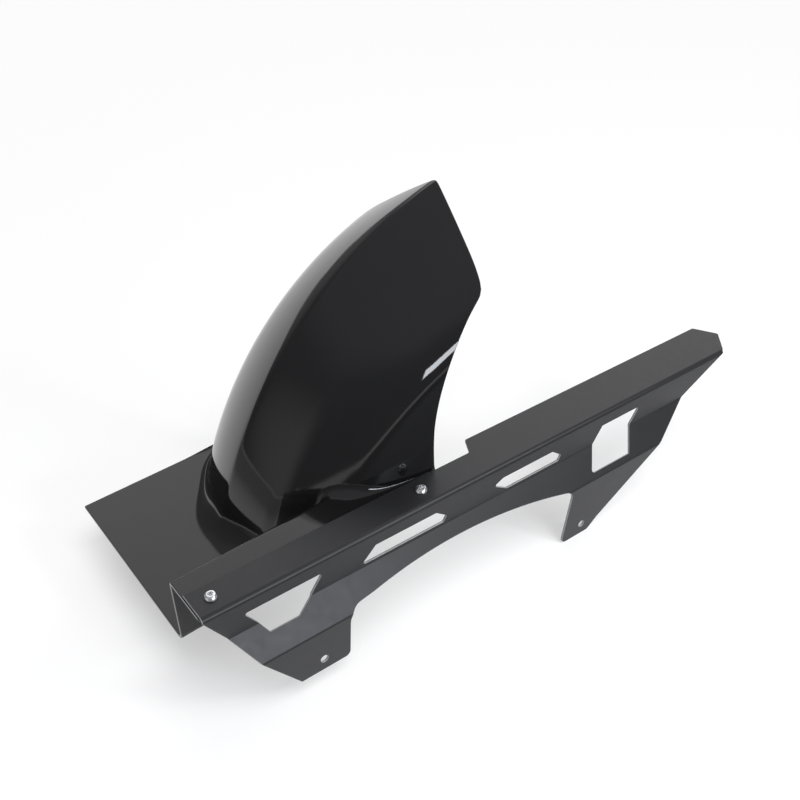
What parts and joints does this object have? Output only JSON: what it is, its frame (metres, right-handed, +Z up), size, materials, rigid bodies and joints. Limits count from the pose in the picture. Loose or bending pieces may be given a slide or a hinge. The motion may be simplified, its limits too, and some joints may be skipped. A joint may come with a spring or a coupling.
{
  "type": "motorcycle rear hugger fender with chain guard",
  "caption": "Rear hugger fender: a moulded arch with a centre spine over the wheel, a flat front plate and a raised flange that carries a folded chain guard with mounting tabs.",
  "frame": {"origin": "centre of the front tab's hole, on the tab's inner face that meets the swingarm", "axes": "+X forward along the motorcycle, +Y to its left, out of the tab, +Z up, square to the guard's top face"},
  "size_m": [0.577, 0.2696, 0.3029],
  "materials": {
    "gloss_black_abs": "gloss black moulded ABS",
    "satin_black_aluminium": "satin black coated aluminium sheet",
    "bright_steel": "bright zinc-plated steel"
  },
  "bodies": {
    "root": {"hugger_shell": "gloss_black_abs", "chain_guard": "satin_black_aluminium", "button_screws": "bright_steel", "flange_washers": "bright_steel", "lock_nuts": "bright_steel"}
  },
  "joints": []
}
